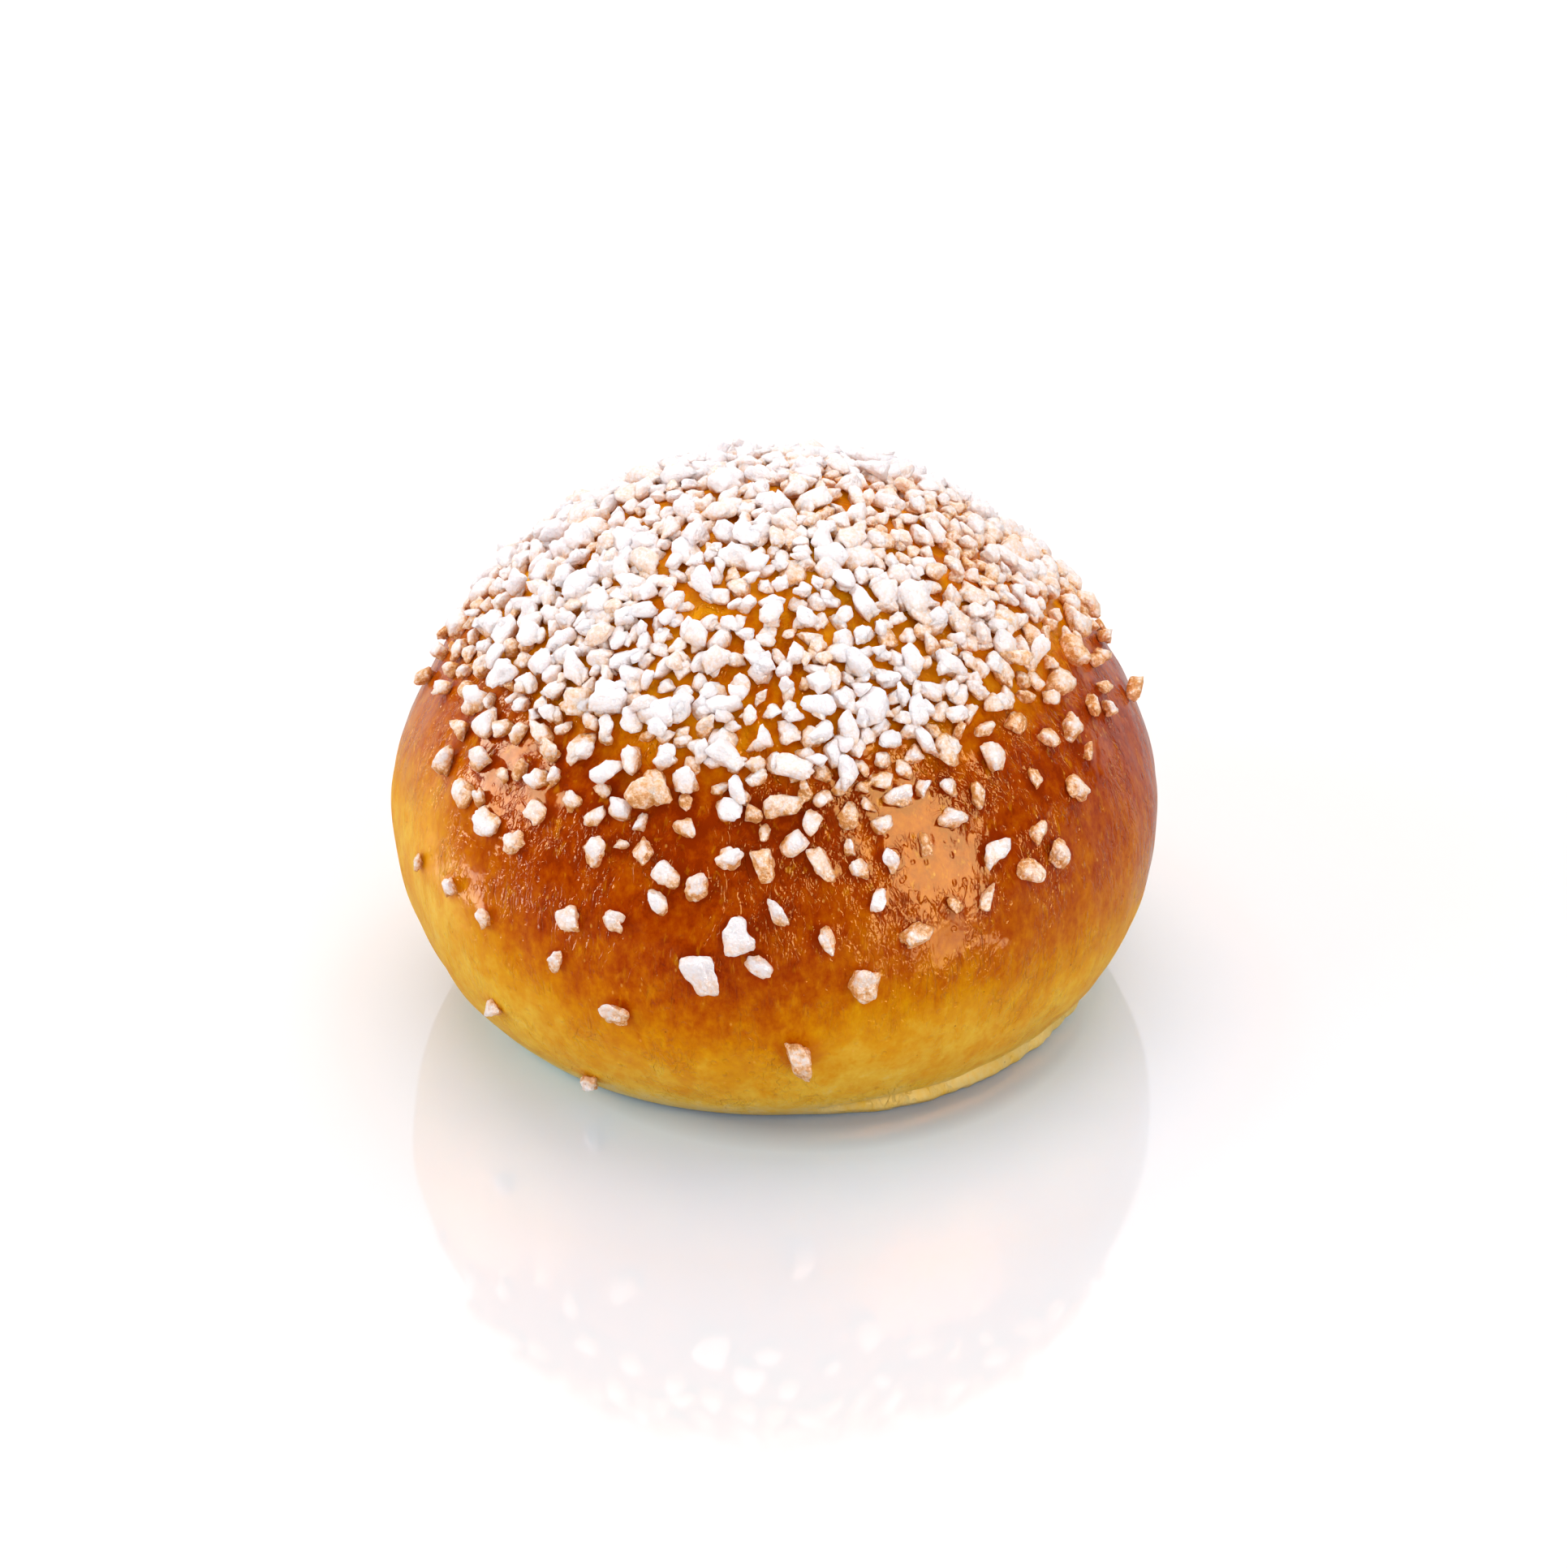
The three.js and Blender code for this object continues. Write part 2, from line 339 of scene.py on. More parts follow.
# ---------------------------------------------------------------------------------------------
# The nibs' shapes
# ---------------------------------------------------------------------------------------------

def ball(subdivisions):
    """Directions and triangles of an icosphere."""
    mesh = bpy.data.meshes.new("ball")
    form = bmesh.new()
    bmesh.ops.create_icosphere(form, subdivisions=subdivisions, radius=1)
    form.to_mesh(mesh)
    form.free()
    directions = np.array([v.co for v in mesh.vertices])
    faces = np.array([f.vertices for f in mesh.polygons])
    bpy.data.meshes.remove(mesh)
    return directions / np.linalg.norm(directions, axis=1, keepdims=True), faces


def nib_form(directions):
    """One nib in a box of side 1: a chip with flat facets, bites out of it and a rough skin."""
    normals = random.normal(size=(random.integers(9, 15), 3))
    normals /= np.linalg.norm(normals, axis=1, keepdims=True)
    cuts = np.maximum(directions @ normals.T, 0) / random.uniform(0.6, 1.0, len(normals))
    sharpness = random.uniform(16, 34)
    radius = np.minimum((cuts**sharpness).sum(axis=1) ** (-1 / sharpness), 1.35)
    bites = random.normal(size=(random.integers(2, 6), 3))
    bites /= np.linalg.norm(bites, axis=1, keepdims=True)
    depths, widths = random.uniform(0.1, 0.42, len(bites)), random.uniform(0.02, 0.08, len(bites))
    radius *= 1 - (depths * np.exp((directions @ bites.T - 1) / widths)).max(axis=1)
    place = directions + random.uniform(-50, 50, 3)
    radius *= 1 + 0.14 * noise(place, 0.6, 1) + 0.11 * noise(place, 0.33, 2)
    form = directions * radius[:, None]
    return form / np.ptp(form, axis=0)


def turned(angle):
    """Rotation about the vertical."""
    c, s = math.cos(angle), math.sin(angle)
    return np.array([[c, -s, 0], [s, c, 0], [0, 0, 1]])


def nib_points(directions, azimuth, height, length, lift, lie):
    """One nib's points on the crust and their stain, which also holds painted shade; lie is its
    long side's angle from level.
    """
    form = nib_form(directions)
    width = length * random.uniform(0.52, 0.95)
    form *= (length, width, min(width, length * random.uniform(0.5, 0.72)))
    tip = Matrix.Rotation(random.normal(0, 0.4), 3, "X")
    tip = tip @ Matrix.Rotation(random.normal(0, 0.35), 3, "Y")
    form = form @ np.array(tip).T @ turned(lie).T
    point, outward = on_crust([azimuth], [height])
    point, outward = point[0], outward[0]
    level = np.array([-math.sin(azimuth), math.cos(azimuth), 0])
    upslope = np.cross(outward, level)
    form[:, 2] += lift - form[:, 2].min() * NIB_CLEAR
    form[:, 2] *= min(1, (NIB_RISE + lift) / form[:, 2].max())
    offsets = form[:, :1] * level + form[:, 1:2] * upslope + form[:, 2:] * outward

    # Tan low on each nib: egg wash it drew up from the crust, and painted shade where it meets the
    # crust and its neighbours.
    wicked_and_shaded = 0.85 * (1 - smooth(form[:, 2], 0.1, 1.9))
    drop = offsets[:, 2] - offsets[:, 2].mean()
    # Tan on each nib's lower side: partly painted shade, partly egg wash that ran down.
    sagged_and_shaded = 0.3 * (1 - smooth(drop, -0.25 * length, 0.25 * length))
    soaked = 0.75 * random.random() ** 3
    # Painted shade: the nibs on the bun's right front tinted tanner.
    side_shade = 0.3 * smooth(math.cos(azimuth - math.radians(SHADED_NIB_AZIMUTH)), 0.55, 0.95)
    stain_and_shade = (wicked_and_shaded + sagged_and_shaded + soaked + side_shade) * (1 - 0.5 * smooth(height, 42, 52))
    return point + offsets, np.clip(stain_and_shade, 0, 1)


# ---------------------------------------------------------------------------------------------
# Materials
# ---------------------------------------------------------------------------------------------

def linear(red, green, blue):
    """A display colour, each part from 0 to 255, as the linear colour that shaders take."""
    parts = np.array([red, green, blue]) / 255
    parts = np.where(parts <= 0.04045, parts / 12.92, ((parts + 0.055) / 1.055) ** 2.4)
    return (*parts.tolist(), 1)


class Nodes:
    """Short calls for building one material's node tree."""

    def __init__(self, name):
        self.material = bpy.data.materials.new(name)
        self.material.use_nodes = True
        self.tree = self.material.node_tree
        self.shader = next(n for n in self.tree.nodes if n.type == "BSDF_PRINCIPLED")
        self.place = self.tree.nodes.new("ShaderNodeTexCoord").outputs["Object"]

    def add(self, kind, **inputs):
        """A new node with its inputs set or linked, an underscore standing for a space."""
        node = self.tree.nodes.new(kind)
        for key, value in inputs.items():
            self.feed(node.inputs[key.replace("_", " ")], value)
        return node

    def feed(self, socket, value):
        """Links a socket to another's output, or sets its value."""
        if isinstance(value, bpy.types.NodeSocket):
            self.tree.links.new(value, socket)
        else:
            socket.default_value = value

    def stretched(self, x, y, z):
        """Object coordinates multiplied along each axis."""
        node = self.add("ShaderNodeVectorMath", Vector=self.place)
        node.operation = "MULTIPLY"
        node.inputs[1].default_value = (x, y, z)
        return node.outputs[0]

    def noise(self, wavelength, detail=2.0, roughness=0.5, place=None, distortion=0.0):
        """Noise from 0 to 1; wavelength in millimetres."""
        node = self.add(
            "ShaderNodeTexNoise", Vector=place or self.place, Scale=1 / (wavelength * MM),
            Detail=detail, Roughness=roughness, Distortion=distortion,
        )
        return node.outputs["Fac"]

    def cells(self, wavelength, place=None):
        """Distance to the nearest of scattered points; wavelength is their spacing in mm."""
        node = self.add(
            "ShaderNodeTexVoronoi", Vector=place or self.place, Scale=1 / (wavelength * MM))
        return node.outputs["Distance"]

    def math(self, operation, first, second=0.0, clamp=False):
        """One operation on two numbers, held from 0 to 1 if clamp is set."""
        node = self.tree.nodes.new("ShaderNodeMath")
        node.operation = operation
        node.use_clamp = clamp
        self.feed(node.inputs[0], first)
        self.feed(node.inputs[1], second)
        return node.outputs[0]

    def span(self, value, low, high, to_low=0.0, to_high=1.0):
        """value carried from one range to another, and held at its ends."""
        node = self.tree.nodes.new("ShaderNodeMapRange")
        for socket, part in zip(node.inputs, (value, low, high, to_low, to_high)):
            self.feed(socket, part)
        return node.outputs[0]

    def ramp(self, value, stops):
        """The colour at value along stops, each a position and a colour."""
        node = self.add("ShaderNodeValToRGB", Fac=value)
        elements = node.color_ramp.elements
        while len(elements) < len(stops):
            elements.new(0.5)
        for element, (position, colour) in zip(elements, stops):
            element.position, element.color = position, colour
        return node.outputs["Color"]

    def mix(self, share, first, second):
        """The first colour with a share of the second."""
        node = self.tree.nodes.new("ShaderNodeMix")
        node.data_type = "RGBA"
        self.feed(node.inputs["Factor"], share)
        self.feed(node.inputs[6], first)
        self.feed(node.inputs[7], second)
        return node.outputs[2]

    def attribute(self, name):
        """A number that the mesh holds for each of its points."""
        node = self.tree.nodes.new("ShaderNodeAttribute")
        node.attribute_name = name
        return node.outputs["Fac"]

    def bump(self, height, depth, below=None):
        """Bump of a depth in millimetres for a height from 0 to 1."""
        node = self.add("ShaderNodeBump", Height=height, Distance=depth * MM, Strength=1.0)
        if below:
            self.feed(node.inputs["Normal"], below)
        return node.outputs["Normal"]

    def set(self, **inputs):
        """Sets or links the shader's inputs."""
        for key, value in inputs.items():
            self.feed(self.shader.inputs[key.replace("_", " ")], value)


CRUST_STOPS = [
    (0.00, linear(236, 206, 128)),
    (0.18, linear(236, 186, 54)),
    (0.34, linear(226, 154, 4)),
    (0.50, linear(214, 130, 0)),
    (0.66, linear(199, 104, 0)),
    (0.82, linear(179, 76, 0)),
    (0.93, linear(164, 57, 0)),
    (1.00, linear(146, 45, 0)),
]
STREAK_COLOUR = linear(232, 154, 12)
SPECK_COLOUR = linear(104, 40, 6)
FLECK_COLOUR = linear(250, 186, 84)
SUGAR_STOPS = [
    (0.00, linear(252, 247, 252)),
    (0.25, linear(252, 239, 237)),
    (0.50, linear(249, 218, 196)),
    (0.78, linear(238, 184, 128)),
    (1.00, linear(214, 140, 60)),
]

# The floor away from the bun; a painted cool tint round it, against the orange light it bounces
# onto the floor; a painted shadow beneath its edge; and a painted glow round it and in that shadow
FLOOR_FAR = (0.88, 0.90, 0.91, 1)
FLOOR_PAINTED_COOL = (0.78, 0.91, 0.98, 1)
FLOOR_PAINTED_SHADOW = (0.47, 0.54, 0.58, 1)
PAINTED_GLOW_NEAR = (0.0, 0.08, 0.15, 1)
PAINTED_GLOW_IN_SHADOW = (0.0, 0.03, 0.07, 1)
BLACK = (0, 0, 0, 1)

# The round spot of painted tint, shadow and glow on the floor: one over its radius in metres, and
# what is added to the place, in radii, so that the spot's middle lies a little towards the camera
SPOT_SCALE = 6
SPOT_SHIFT = (-0.018, 0.06, 0)

# The share of the floor's brightness that the glaze doesn't mirror
MIRROR_DIMMING = 0.65


def crust_material():
    """Egg-washed crust: browned, mottled and streaked, with a wrinkled and pitted glaze."""
    n = Nodes("crust")
    baked, glaze = n.attribute("browning"), n.attribute("glaze")
    tall, taller = n.stretched(1, 1, 0.6), n.stretched(1, 1, 0.32)
    mottle = n.noise(2.2, 4, 0.62, place=tall, distortion=0.3)
    grain = n.noise(0.7, 3, 0.6)
    leather = n.span(n.noise(1.2, 4, 0.7, place=tall), 0.3, 0.7, -0.11, 0.11)
    shade = n.math("ADD", baked, n.span(mottle, 0.25, 0.75, -0.12, 0.12))
    shade = n.math("ADD", shade, n.span(grain, 0.25, 0.75, -0.05, 0.05))
    shade = n.math("ADD", shade, n.math("MULTIPLY", leather, glaze))
    # The crust browner round each nib: egg wash gathered there, and painted shade where nib meets
    # crust.
    shade = n.math("ADD", shade, n.math("MULTIPLY", n.attribute("wash_and_shade"), 0.14), clamp=True)
    colour = n.ramp(shade, CRUST_STOPS)
    streak = n.span(n.noise(1.3, 3, 0.6, place=taller, distortion=0.4), 0.6, 0.72, 0.0, 0.4)
    colour = n.mix(n.math("MULTIPLY", streak, glaze), colour, STREAK_COLOUR)
    speck = n.span(n.cells(3.1), 0.025, 0.05, 0.6, 0.0)
    colour = n.mix(speck, colour, SPECK_COLOUR)
    fleck = n.span(n.cells(1.9, place=tall), 0.05, 0.1, 0.4, 0.0)
    colour = n.mix(fleck, colour, FLECK_COLOUR)
    n.set(Base_Color=colour)

    ripple = n.noise(3.4, 2, 0.5, distortion=0.4)
    flaky = n.span(n.noise(6.5, 2), 0.44, 0.6)
    along = n.noise(1.5, 2, 0.55, place=taller, distortion=0.5)
    crack = n.span(n.math("ABSOLUTE", n.math("SUBTRACT", along, 0.5)), 0.0, 0.06)
    crack = n.math("MAXIMUM", crack, n.math("SUBTRACT", 1.0, flaky))
    flakes = n.span(n.noise(0.9, 2, 0.6, place=tall), 0.5, 0.6)
    flakes = n.math("MULTIPLY", flakes, flaky)
    pit = n.span(n.cells(2.0), 0.12, 0.2)
    dew = n.span(n.cells(2.3, place=tall), 0.0, 0.15, 1.0, 0.0)
    normal = None
    for height, depth in (
            (ripple, 0.17), (crack, 0.09), (flakes, 0.05), (pit, 0.07), (dew, 0.14), (grain, 0.02)):
        normal = n.bump(height, depth, normal)
    rough = n.span(glaze, 0, 1, 0.46, 0.055)
    rough = n.math("ADD", rough, n.span(n.noise(1.1, 3), 0.3, 0.7, 0.0, 0.04))
    n.set(Normal=normal, Roughness=rough, IOR=1.3, Specular_Tint=(1.0, 0.62, 0.21, 1.0))
    n.set(Subsurface_Weight=0.06, Subsurface_Scale=1.5 * MM, Subsurface_Radius=(1.0, 0.4, 0.1))
    return n.material


def sugar_material():
    """Pearl sugar: dull white compressed crystals, stained amber where egg wash reached, with
    painted shade in the same tint low on each nib, on its lower side and on the bun's right front.
    """
    n = Nodes("pearl_sugar")
    # The nibs' egg-wash stain together with their painted shade, as nib_points gives them.
    stain_and_shade = n.attribute("stain_and_shade")
    blotch = n.noise(0.75, 4, 0.68)
    reach = n.math("MULTIPLY", stain_and_shade, n.span(blotch, 0.34, 0.64, 0.4, 1.3), clamp=True)
    crystals = n.cells(0.42)
    reach = n.math("ADD", reach, n.span(crystals, 0.3, 0.6, 0.0, 0.12), clamp=True)
    n.set(Base_Color=n.ramp(reach, SUGAR_STOPS))
    lumps = n.noise(0.6, 4, 0.65)
    normal = n.bump(crystals, 0.1, n.bump(lumps, 0.34))
    n.set(Normal=normal, Roughness=n.span(lumps, 0.3, 0.7, 0.36, 0.6), IOR=1.45)
    n.set(Subsurface_Weight=0.3, Subsurface_Scale=0.6 * MM, Subsurface_Radius=(1.0, 0.8, 0.7))
    return n.material


def floor_material():
    """A glossy white floor with painted light and shade round the bun: a painted cool tint and a
    painted glow that cancel the orange light the bun bounces onto it, and a painted shadow beneath
    its edge.

    The glaze mirrors it darker than it is, as if a black card stood in front of the bun.
    """
    n = Nodes("floor")
    spot = n.add("ShaderNodeVectorMath", Vector=n.stretched(SPOT_SCALE, SPOT_SCALE, SPOT_SCALE))
    spot.operation = "ADD"
    spot.inputs[1].default_value = SPOT_SHIFT
    gradient = n.add("ShaderNodeTexGradient", Vector=spot.outputs[0])
    gradient.gradient_type = "SPHERICAL"
    nearness = gradient.outputs["Fac"]
    # The painted shadow's mask: a narrow ring beneath the bun's edge.
    painted_shadow = n.span(nearness, 0.80, 0.835)
    # A painted cool tint round the bun, against the orange light it bounces onto the floor, then
    # the painted shadow.
    colour = n.mix(n.span(nearness, 0.5, 0.75), FLOOR_FAR, FLOOR_PAINTED_COOL)
    colour = n.mix(painted_shadow, colour, FLOOR_PAINTED_SHADOW)
    # A painted glow round the bun, weaker in the painted shadow, that lifts the floor's green and
    # blue.
    painted_glow = n.mix(painted_shadow, PAINTED_GLOW_NEAR, PAINTED_GLOW_IN_SHADOW)
    painted_glow = n.mix(n.span(nearness, 0.66, 0.78), BLACK, painted_glow)
    mirrored = n.tree.nodes.new("ShaderNodeLightPath").outputs["Is Glossy Ray"]
    n.set(Base_Color=n.mix(n.math("MULTIPLY", mirrored, MIRROR_DIMMING), colour, BLACK))
    n.set(Emission_Color=painted_glow, Emission_Strength=1.0)
    n.set(Roughness=0.05, IOR=2.8, Specular_Tint=(1.0, 0.52, 0.45, 1.0))
    return n.material


# ---------------------------------------------------------------------------------------------
# Building
# ---------------------------------------------------------------------------------------------

def flank_points(azimuth, height):
    """Points on an upright cylinder as wide as the waist, for noise that runs up the flank."""
    return np.column_stack([
        WAIST_RADIUS * np.cos(azimuth), WAIST_RADIUS * np.sin(azimuth), height])


def browning(azimuth, height):
    """How brown the crust is, from 0, cream, to 1, dark, at azimuths in radians and heights."""
    angles, heights = zip(*BROWNING_LINE)
    line = np.interp(np.degrees(azimuth), angles, heights)
    places = flank_points(azimuth, height)
    line = line + 1.8 * noise(places, (7, 7, 40), 3) + noise(places, (2.6, 2.6, 22), 4)
    over = height - line
    brown = 0.5 + np.where(over > 0, 0.43 * np.tanh(over / 10.5), 0.26 * np.tanh(over / 7))
    brown -= 0.22 * (1 - smooth(height, 0, 7))
    crown = smooth(height, 41, 50)
    patch = 0.5 + 0.5 * noise(places, 9, 5)
    brown = brown * (1 - crown) + crown * (0.3 + 0.3 * patch)
    return brown + 0.05 * noise(places, 4.5, 6)


def lip(azimuth, height):
    """Outward push of the pale rim that the crust stands on, with the crease over it."""
    front = smooth(np.cos(azimuth - math.radians(LIP_AZIMUTH)), 0.5, 0.85)
    back = 0.7 * smooth(np.cos(azimuth - math.radians(BACK_LIP_AZIMUTH)), 0.2, 0.6)
    places = flank_points(azimuth, height)
    top = LIP_HEIGHT + 0.5 * noise(places, (6, 6, 90), 7)
    flange = 1 - smooth(height, top - 0.3, top + 0.25)
    crease = 0.85 * np.exp(-(((height - top - 0.5) / 0.5) ** 2))
    ragged = 1 + 0.2 * noise(places, (1.8, 1.8, 9), 8)
    return np.maximum(front, back) * (flange * ragged - crease)


def wash_and_nib_shade(points, heights, nibs):
    """How much egg wash has gathered at each crust point, from 0 to 1 where a nib stands; the crust
    is darkened by it too, partly as painted shade round each nib.
    """
    tree = KDTree(len(nibs))
    for i, (azimuth, height, _) in enumerate(nibs):
        tree.insert(on_crust([azimuth], [height])[0][0], i)
    tree.balance()
    gaps = np.full(len(points), WASH_NONE)
    for i in np.nonzero(heights > 1)[0]:
        _, nearest, distance = tree.find(points[i])
        gaps[i] = distance - 0.42 * nibs[nearest][2]
    return np.exp(-((np.maximum(gaps, 0) / WASH_REACH) ** 2))


def close_bun(points):
    """Points and faces of the whole bun from its crust's rings, which start at the foot."""
    columns = CRUST_COLUMNS
    under = []
    for share in UNDER_RING_SHARES:
        ring = points[:columns] * share
        ring[:, 2] = 0
        under.append(ring)
    rows = len(points) // columns + len(under)
    crown = settle(np.array([[0, 0, CROWN_HEIGHT]]))
    points = np.vstack([*under[::-1], points, crown, [[0, 0, 0]]])
    corner = np.arange(rows * columns).reshape(rows, columns)
    after = np.roll(corner, -1, axis=1)
    quads = np.stack([corner[:-1], after[:-1], after[1:], corner[1:]], axis=-1).reshape(-1, 4)
    top, base = rows * columns, rows * columns + 1
    faces = quads.tolist()
    faces += [[a, b, top] for a, b in zip(corner[-1].tolist(), after[-1].tolist())]
    faces += [[b, a, base] for a, b in zip(corner[0].tolist(), after[0].tolist())]
    return points, faces


def build_crust(material, nibs):
    """The bun as one closed mesh, its outline as the CAD's with lumps, wrinkles and a lip."""
    around = np.linspace(-math.pi, math.pi, CRUST_COLUMNS, endpoint=False)
    azimuth, height = (g.ravel() for g in np.meshgrid(around, crust_heights()))
    points, outward = on_crust(azimuth, height)
    lumps = 0.30 * noise(points, 13, 9) + 0.16 * noise(points, (4.2, 4.2, 9), 10)
    wrinkles = 0.05 * noise(points, (1.8, 1.8, 4.5), 11) * (1 - smooth(height, 38, 46))
    push = (lumps + wrinkles) * smooth(height, 0, 5) + lip(azimuth, height)
    push -= EDGE_ROUND * (1 - smooth(height, -0.2, 0.6)) ** 2
    wash_and_shade = wash_and_nib_shade(points, height, nibs)
    push += WASH_RISE * wash_and_shade
    points = points + outward * push[:, None]
    points[:, 2] = np.maximum(points[:, 2], 0.02)
    points, faces = close_bun(points)

    hidden = len(UNDER_RING_SHARES) * CRUST_COLUMNS
    brown = browning(azimuth, height)
    glaze = smooth(brown, 0.28, 0.55)
    under_brown = np.full(hidden, UNDER_BROWN)
    return add_piece("brioche_bun", points, faces, material, {
        "browning": np.concatenate([under_brown, brown, [0.5, UNDER_BROWN]]),
        "glaze": np.concatenate([np.zeros(hidden), glaze, [1, 0]]),
        "wash_and_shade": np.concatenate([np.zeros(hidden), wash_and_shade, [0, 0]]),
    })


def join_nibs(name, nibs, directions, triangles, material):
    """One piece of many nibs; each is (azimuth, height, length, lift, lie)."""
    points, stains_and_shade, faces = [], [], []
    for i, nib in enumerate(nibs):
        places, stain_and_shade = nib_points(directions, *nib)
        points.append(places)
        stains_and_shade.append(stain_and_shade)
        faces.append(triangles + i * len(directions))
    return add_piece(
        name, np.vstack(points), np.vstack(faces).tolist(), material,
        {"stain_and_shade": np.concatenate(stains_and_shade)},
    )


def laid(nib, lift=0.0):
    """A nib's place with its lift and a random lie."""
    return (*nib, lift, random.uniform(0, math.pi))


def build_sugar(material):
    """All the sugar. Returns the nibs that stand on the crust, as azimuth, height, length."""
    directions, triangles = ball(SINGLE_DETAIL)
    singles = single_nibs()
    for name, azimuth, height, length in singles:
        lie = random.normal(math.pi / 2, 0.5)
        nib = (azimuth, height, length * SINGLE_SHARE + SINGLE_EXTRA, 0.0, lie)
        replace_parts(join_nibs("fine_" + name, [nib], directions, triangles, material), name)

    standing = [nib[1:] for nib in singles]
    taken = [(on_crust([a], [h])[0][0], s) for a, h, s in standing]
    highest = CROWN_HEIGHT - 0.01
    base = scatter(
        tries=26000, low=39, high=highest,
        keep=lambda above: (above > -1) * (0.25 + 0.75 * smooth(above, -1, 3)),
        packing=lambda above: 0.82 - 0.24 * smooth(above, 0.5, 10.5), taken=taken)
    taken = taken + [(on_crust([a], [h])[0][0], s) for a, h, s in base]
    strays = scatter(
        tries=1400, low=35, high=46,
        keep=lambda above: (above < -1) * (0.05 + 0.75 * smooth(above, -6.5, -0.5)),
        packing=lambda above: 0.95, taken=taken)
    upper = scatter(
        tries=6000, low=43, high=highest,
        keep=lambda above: (above > 2) * (0.1 + 0.9 * smooth(above, 2, 10.5)),
        packing=lambda above: 0.8, taken=[])

    directions, triangles = ball(NIB_DETAIL)
    cap = [laid(nib) for nib in base]
    cap += [laid(nib, random.uniform(0.3, 0.9)) for nib in upper]
    cap.sort(key=lambda nib: nib[0])
    for i, share in enumerate(np.array_split(np.arange(len(cap)), CAP_PIECES)):
        nibs = [cap[j] for j in share]
        piece = join_nibs(f"cap_nibs_{i + 1}", nibs, directions, triangles, material)
        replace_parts(piece, "sugar_cap")
    join_nibs("stray_nibs", [laid(nib) for nib in strays], directions, triangles, material)
    return standing + base + strays


def build_stage():
    """The pale floor."""
    mesh = bpy.data.meshes.new("floor")
    half = FLOOR_HALF
    corners = [(-half, -half, 0), (half, -half, 0), (half, half, 0), (-half, half, 0)]
    mesh.from_pydata(corners, [], [(0, 1, 2, 3)])
    mesh.materials.append(floor_material())
    floor = bpy.data.objects.new("floor", mesh)
    bpy.context.scene.collection.objects.link(floor)
    return floor


def add_softbox(name, azimuth, elevation, distance, size, radiance, glossy=True, diffuse=True):
    """A soft area light aimed at the bun, unseen by the camera; degrees and metres.

    radiance is how bright it looks, where 1 is a white surface in full light. glossy and diffuse
    say whether it shows in gloss and whether it lights things.
    """
    light = bpy.data.lights.new(name, "AREA")
    light.shape = "RECTANGLE"
    light.size, light.size_y = size
    light.energy = radiance * math.pi * size[0] * size[1]
    lamp = bpy.data.objects.new(name, light)
    a, e = math.radians(azimuth), math.radians(elevation)
    away = Vector((math.cos(a) * math.cos(e), math.sin(a) * math.cos(e), math.sin(e)))
    lamp.location = away * distance + Vector((0, 0, 0.03))
    lamp.rotation_euler = away.to_track_quat("Z", "Y").to_euler()
    lamp.visible_glossy, lamp.visible_diffuse, lamp.visible_camera = glossy, diffuse, False
    bpy.context.scene.collection.objects.link(lamp)
    return lamp


def add_gleam(name, azimuth, distance, radiance):
    """A strip's shine on the floor, which the glaze mirrors: a panel that lies there face up."""
    gleam = add_softbox(name, azimuth, 0, distance, GLEAM_SIZE, radiance, diffuse=False)
    gleam.location.z = MM
    gleam.rotation_euler = (math.pi, 0, math.radians(azimuth))
    return gleam


def build_world():
    """White surroundings that give soft light, mirrored as a dim room with a bright far wall.

    The camera sees them fully white.
    """
    world = bpy.data.worlds.new("studio")
    bpy.context.scene.world = world
    world.use_nodes = True
    nodes, link = world.node_tree.nodes, world.node_tree.links.new
    place = nodes.new("ShaderNodeTexCoord")
    parts = nodes.new("ShaderNodeSeparateXYZ")
    wall = nodes.new("ShaderNodeMapRange")
    ray = nodes.new("ShaderNodeLightPath")
    strength = nodes.new("ShaderNodeMix")
    seen = nodes.new("ShaderNodeMath")
    background = nodes["Background"]
    for socket, value in zip(wall.inputs[1:5], (*FAR_WALL, ROOM_GLOSS, 1.0)):
        socket.default_value = value
    strength.inputs["A"].default_value = ROOM_LIGHT
    seen.operation = "MAXIMUM"
    background.inputs["Color"].default_value = (1, 1, 1, 1)
    link(place.outputs["Generated"], parts.inputs[0])
    link(parts.outputs["Y"], wall.inputs["Value"])
    link(ray.outputs["Is Glossy Ray"], strength.inputs["Factor"])
    link(wall.outputs[0], strength.inputs["B"])
    link(strength.outputs["Result"], seen.inputs[0])
    link(ray.outputs["Is Camera Ray"], seen.inputs[1])
    link(seen.outputs[0], background.inputs["Strength"])


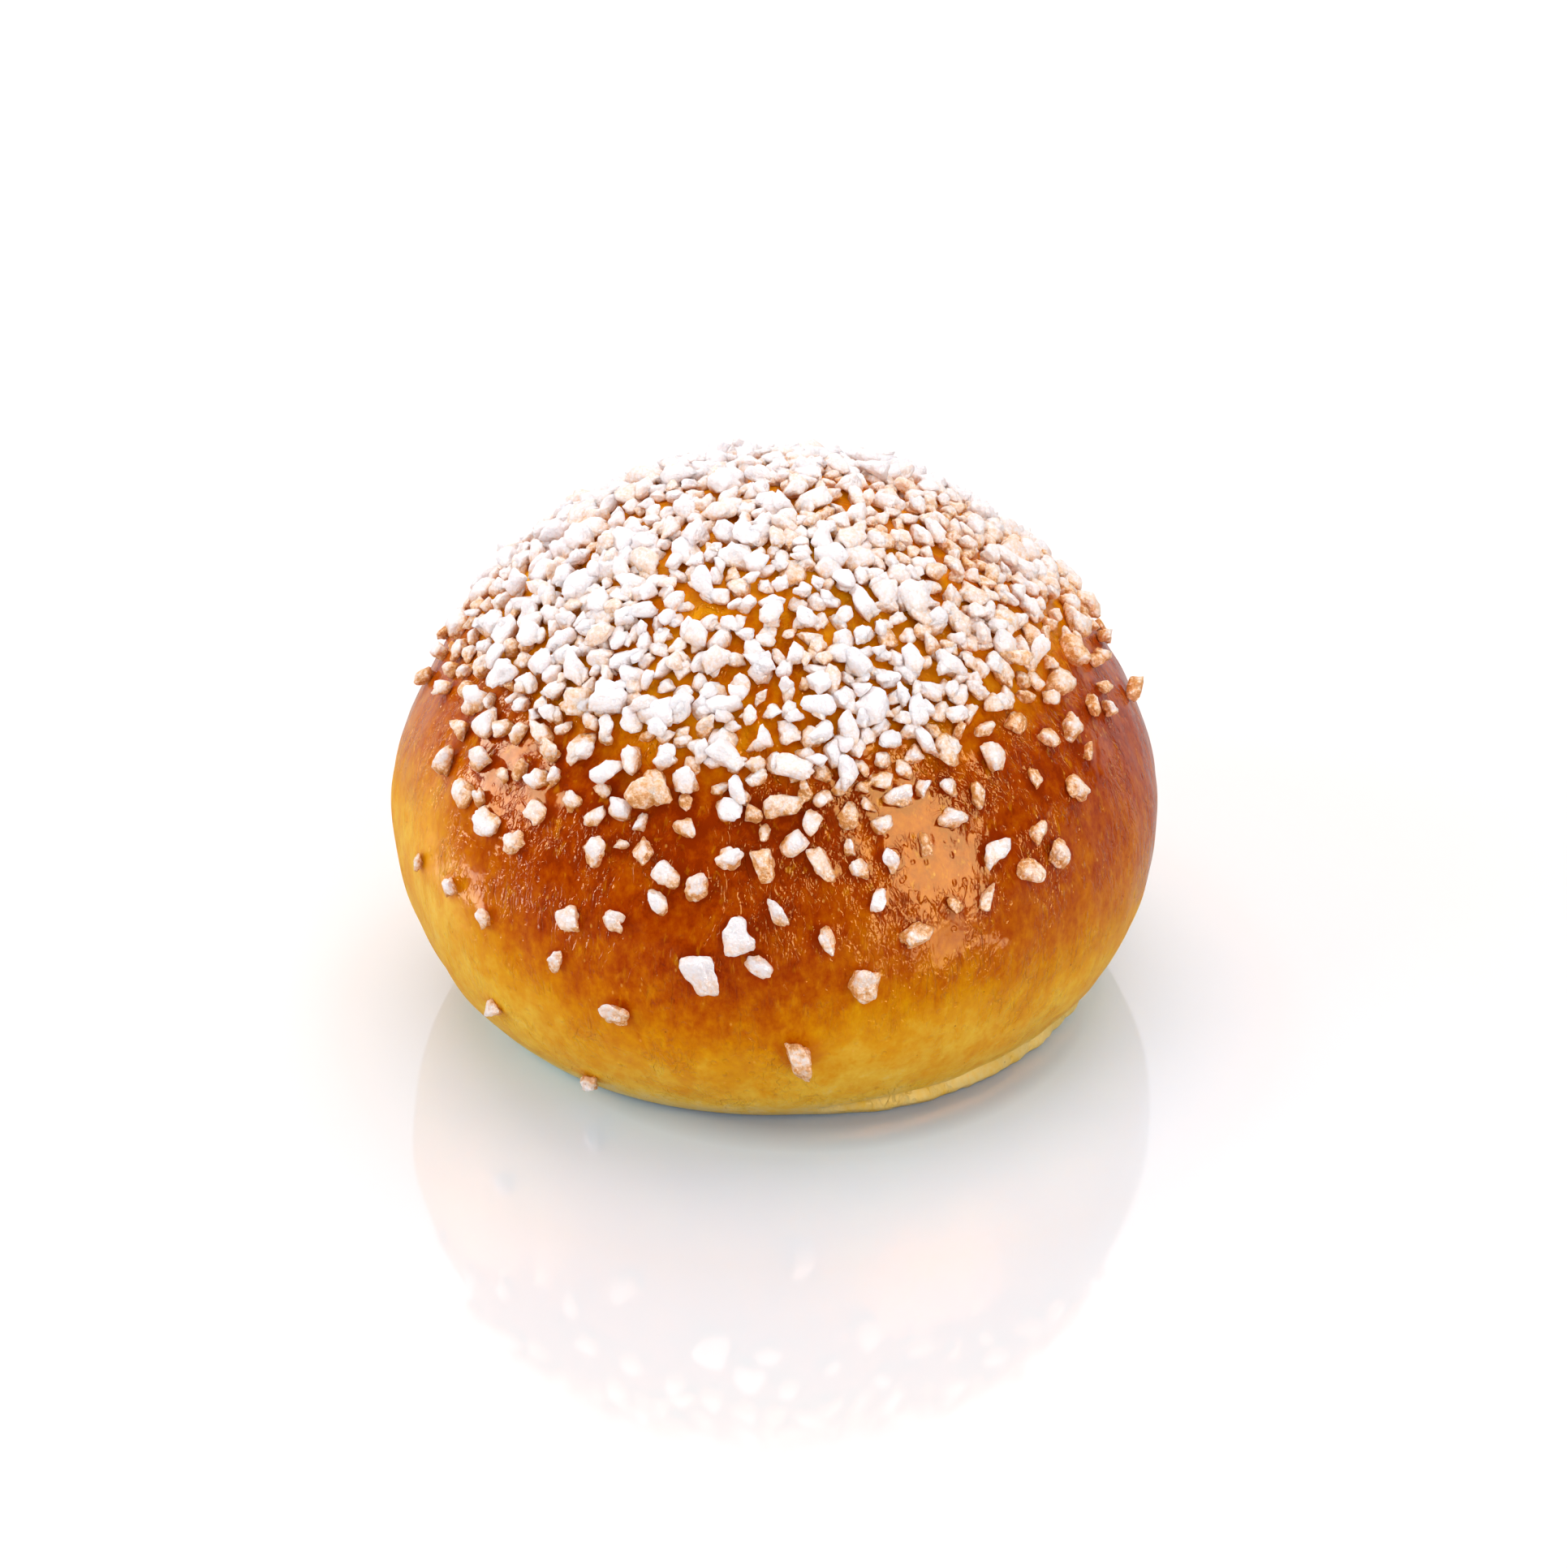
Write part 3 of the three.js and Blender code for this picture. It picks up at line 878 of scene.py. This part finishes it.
def build_light(floor):
    """Soft studio light: a top light and fills, with strips and walls that only gloss shows.

    The floor doesn't mirror the strips and gleams, and only the floor mirrors the walls.
    """
    build_world()
    add_softbox("softbox_top", 90, 68, 1.1, (1.2, 1.2), 2.4, glossy=False)
    add_softbox("fill_left", 200, 24, 1.2, (0.9, 0.7), 2.2, glossy=False)
    add_softbox("fill_right", -60, 24, 1.2, (0.9, 0.7), 1.3, glossy=False)
    strips = [
        add_softbox("strip_right", -45, 23, 0.6, (0.36, 0.56), 24, diffuse=False),
        add_softbox("strip_left", 177, 18, 0.8, (0.4, 0.34), 22, diffuse=False),
        add_gleam("gleam_right", -48, 0.25, 12),
        add_gleam("gleam_left", 185, 0.25, 10),
    ]
    walls = [
        add_softbox(f"wall_{azimuth}", azimuth, 0, 8.5, (18, 12), 0.9, diffuse=False)
        for azimuth in (0, 180, 270)
    ]
    for lamps, state in ((strips, "EXCLUDE"), (walls, "INCLUDE")):
        receivers = bpy.data.collections.new("floor_" + state.lower())
        receivers.objects.link(floor)
        receivers.collection_objects[0].light_linking.link_state = state
        for lamp in lamps:
            lamp.light_linking.receiver_collection = receivers


def build_camera():
    """The camera, looking down at the bun from in front, with a slight roll."""
    e, roll = math.radians(VIEW_ELEVATION), math.radians(VIEW_ROLL)
    forward = Vector((0, math.cos(e), -math.sin(e)))
    right, up = Vector((1, 0, 0)), Vector((0, math.sin(e), math.cos(e)))
    tilted_right = right * math.cos(roll) + up * math.sin(roll)
    tilted_up = up * math.cos(roll) - right * math.sin(roll)
    lens = bpy.data.cameras.new("camera")
    lens.lens, lens.sensor_width = LENS, 36
    lens.clip_start, lens.clip_end = 0.05, 40
    camera = bpy.data.objects.new("camera", lens)
    place = Vector(VIEW_TARGET) * MM - forward * VIEW_DISTANCE * MM
    camera.matrix_world = Matrix.Translation(place) @ Matrix(
        (tilted_right, tilted_up, -forward)).transposed().to_4x4()
    bpy.context.scene.collection.objects.link(camera)
    bpy.context.scene.camera = camera


bpy.context.scene.view_settings.view_transform = "Standard"
build_camera()
build_light(build_stage())
nibs = build_sugar(sugar_material())
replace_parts(build_crust(crust_material(), nibs), "bun")
